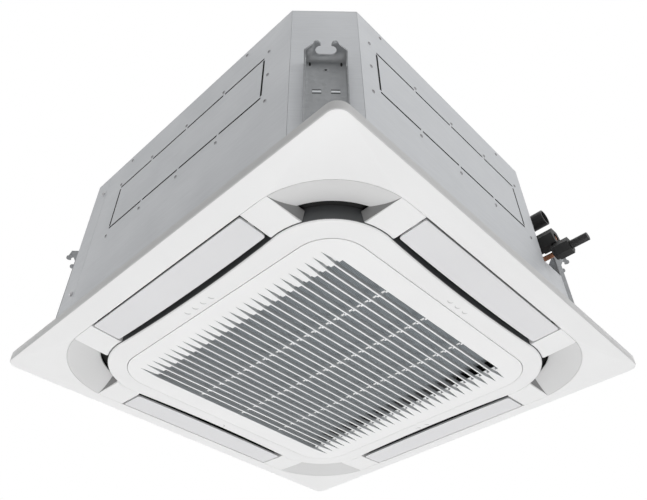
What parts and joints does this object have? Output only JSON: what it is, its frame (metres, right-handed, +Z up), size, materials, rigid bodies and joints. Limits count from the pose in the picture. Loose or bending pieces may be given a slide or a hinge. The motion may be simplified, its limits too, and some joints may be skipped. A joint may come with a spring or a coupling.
{
  "type": "ceiling cassette air conditioner",
  "caption": "Square ceiling cassette with a hinged slatted intake grille, a louvre vane on each side, scooped corner outlets, a sheet casing and corner hooks.",
  "frame": {"origin": "middle of the casing, on the plane of the ceiling that the trim panel's back lies against", "axes": "+Z up through the casing, -Y towards the side that the refrigerant pipes leave by, +X to the right seen from that side"},
  "size_m": [0.62, 0.6505, 0.3232],
  "materials": {
    "casing_paint": "satin light grey",
    "galvanised": "galvanised",
    "foam": "foam",
    "fins": "bare fins",
    "copper": "bare copper, somewhat dull",
    "black_plastic": "matte black",
    "white_plastic": "satin white",
    "steel": "bare steel",
    "fan_plastic": "dark grey",
    "board": "board green",
    "slat_plastic": "satin white",
    "filter_grey": "fine mesh",
    "vane_plastic": "satin light grey"
  },
  "bodies": {
    "casing": {"top_plate": "casing_paint", "side_front": "casing_paint", "side_right": "casing_paint", "side_back": "casing_paint", "side_left": "casing_paint", "corner_plate_front_left": "casing_paint", "corner_plate_front_right": "casing_paint", "corner_plate_back_right": "casing_paint", "corner_plate_back_left": "casing_paint", "hanger_front_left": "galvanised", "hanger_front_right": "galvanised", "hanger_back_right": "galvanised", "hanger_back_left": "galvanised", "motor_mount": "galvanised", "bell_mouth": "galvanised", "control_box": "galvanised", "control_cover": "galvanised", "foam_liner": "foam", "drain_pan": "foam", "coil": "fins", "gas_header": "copper", "liquid_header": "copper", "gas_pipe": "copper", "liquid_pipe": "copper", "gas_nut": "black_plastic", "liquid_nut": "black_plastic", "liquid_tail": "black_plastic", "drain_outlet": "black_plastic", "drain_pump": "black_plastic", "vane_motor_left": "black_plastic", "vane_motor_front": "black_plastic", "vane_motor_right": "black_plastic", "vane_motor_back": "black_plastic", "panel_frame": "white_plastic", "corner_cover_front_left": "white_plastic", "corner_cover_front_right": "white_plastic", "corner_cover_back_right": "white_plastic", "corner_cover_back_left": "white_plastic", "grille_ring": "white_plastic", "fan_motor": "steel", "control_board": "board"},
    "fan": {"turbo_fan": "fan_plastic", "motor_shaft": "steel", "fan_nut": "steel"},
    "vane_left": {"vane_left": "vane_plastic"},
    "vane_front": {"vane_front": "vane_plastic"},
    "vane_right": {"vane_right": "vane_plastic"},
    "vane_back": {"vane_back": "vane_plastic"},
    "grille": {"intake_grille": "slat_plastic", "air_filter": "filter_grey"},
    "latch_left": {"latch_left": "white_plastic"},
    "latch_right": {"latch_right": "white_plastic"},
    "float": {"pump_float": "white_plastic"}
  },
  "joints": [
    {"name": "fan_spin", "type": "hinge", "parent": "casing", "child": "fan", "pos_m": [0, 0, 0.19], "axis": [0, 0, 1], "continuous": true},
    {"name": "vane_left_tilt", "type": "hinge", "parent": "casing", "child": "vane_left", "pos_m": [-0.259, -0.008, -0.0136], "axis": [0, -1, 0], "range_deg": [0, 55]},
    {"name": "vane_front_tilt", "type": "hinge", "parent": "casing", "child": "vane_front", "pos_m": [0.003, -0.27, -0.0136], "axis": [1, 0, 0], "range_deg": [0, 55]},
    {"name": "vane_right_tilt", "type": "hinge", "parent": "casing", "child": "vane_right", "pos_m": [0.265, -0.008, -0.0136], "axis": [0, 1, 0], "range_deg": [0, 55]},
    {"name": "vane_back_tilt", "type": "hinge", "parent": "casing", "child": "vane_back", "pos_m": [0.003, 0.254, -0.0136], "axis": [-1, 0, 0], "range_deg": [0, 55]},
    {"name": "grille_open", "type": "hinge", "parent": "casing", "child": "grille", "pos_m": [0.003, 0.1952, -0.0232], "axis": [1, 0, 0], "range_deg": [0, 90]},
    {"name": "latch_left_slide", "type": "slide", "parent": "grille", "child": "latch_left", "axis": [0, -1, 0], "range_m": [0, 0.004]},
    {"name": "latch_right_slide", "type": "slide", "parent": "grille", "child": "latch_right", "axis": [0, -1, 0], "range_m": [0, 0.004]},
    {"name": "float_rise", "type": "slide", "parent": "casing", "child": "float", "axis": [0, 0, 1], "range_m": [0, 0.012]}
  ]
}
